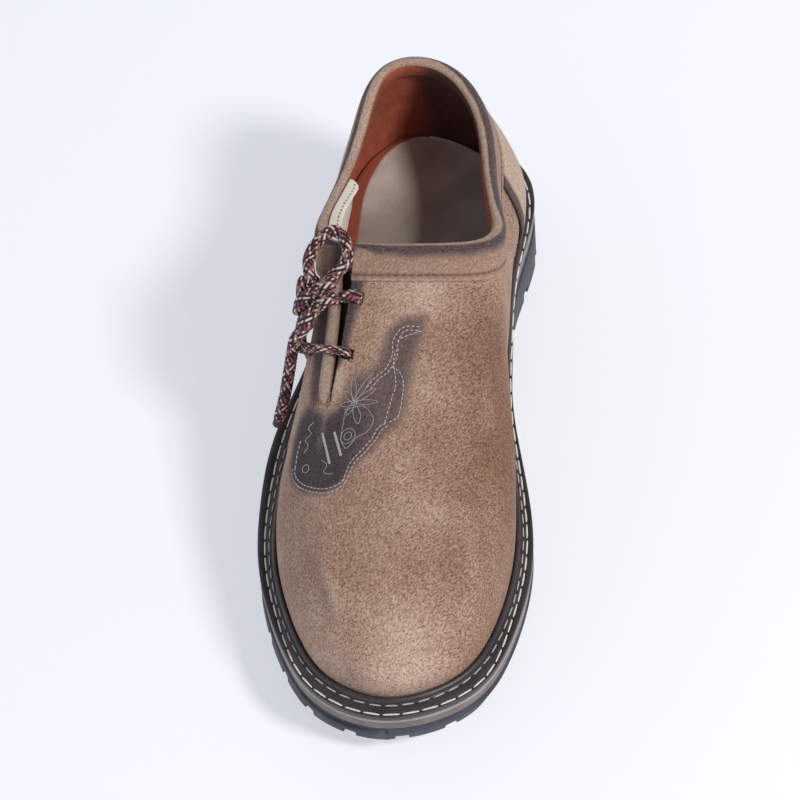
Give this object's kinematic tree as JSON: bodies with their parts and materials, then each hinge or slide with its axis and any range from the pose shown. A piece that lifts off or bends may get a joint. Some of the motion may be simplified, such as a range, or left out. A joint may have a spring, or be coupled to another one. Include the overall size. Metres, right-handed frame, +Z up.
{
  "type": "haferl shoe",
  "caption": "Low traditional haferl shoe for the right foot: suede upper with a side-laced slit, padded collar band, stitched welt and a lugged rubber sole with a heel.",
  "frame": {"origin": "on the floor plane, under the middle of the shoe's length and width", "axes": "+X towards the inner side of the foot, +Y towards the heel, +Z up"},
  "size_m": [0.1133, 0.2945, 0.105],
  "materials": {
    "outsole_rubber": "matt black moulded rubber",
    "midsole_layer": "matt taupe edge",
    "welt_leather": "dark brown, waxed, two rows of light stitches",
    "insole_leather": "smooth pale leather",
    "upper_suede": "tan suede with rough nap and dark burnished places",
    "band_suede": "paler tan suede, burnished along its rim",
    "panel_suede": "paler tan suede",
    "binding_suede": "tan suede turned edge",
    "tongue_leather": "cream leather, soft",
    "lace_cord": "round braided cord, dark burgundy with pale flecks"
  },
  "bodies": {
    "root": {"outsole": "outsole_rubber", "midsole": "midsole_layer", "welt": "welt_leather", "insole": "insole_leather", "upper": "upper_suede", "collar_band": "band_suede", "heel_counter": "panel_suede", "slit_binding": "binding_suede", "tongue": "tongue_leather", "lace_knot": "lace_cord", "lace_bar_lower": "lace_cord", "lace_bar_upper": "lace_cord", "lace_loop_collar": "lace_cord", "lace_loop_side": "lace_cord", "lace_end_front": "lace_cord", "lace_end_side": "lace_cord"}
  },
  "joints": []
}
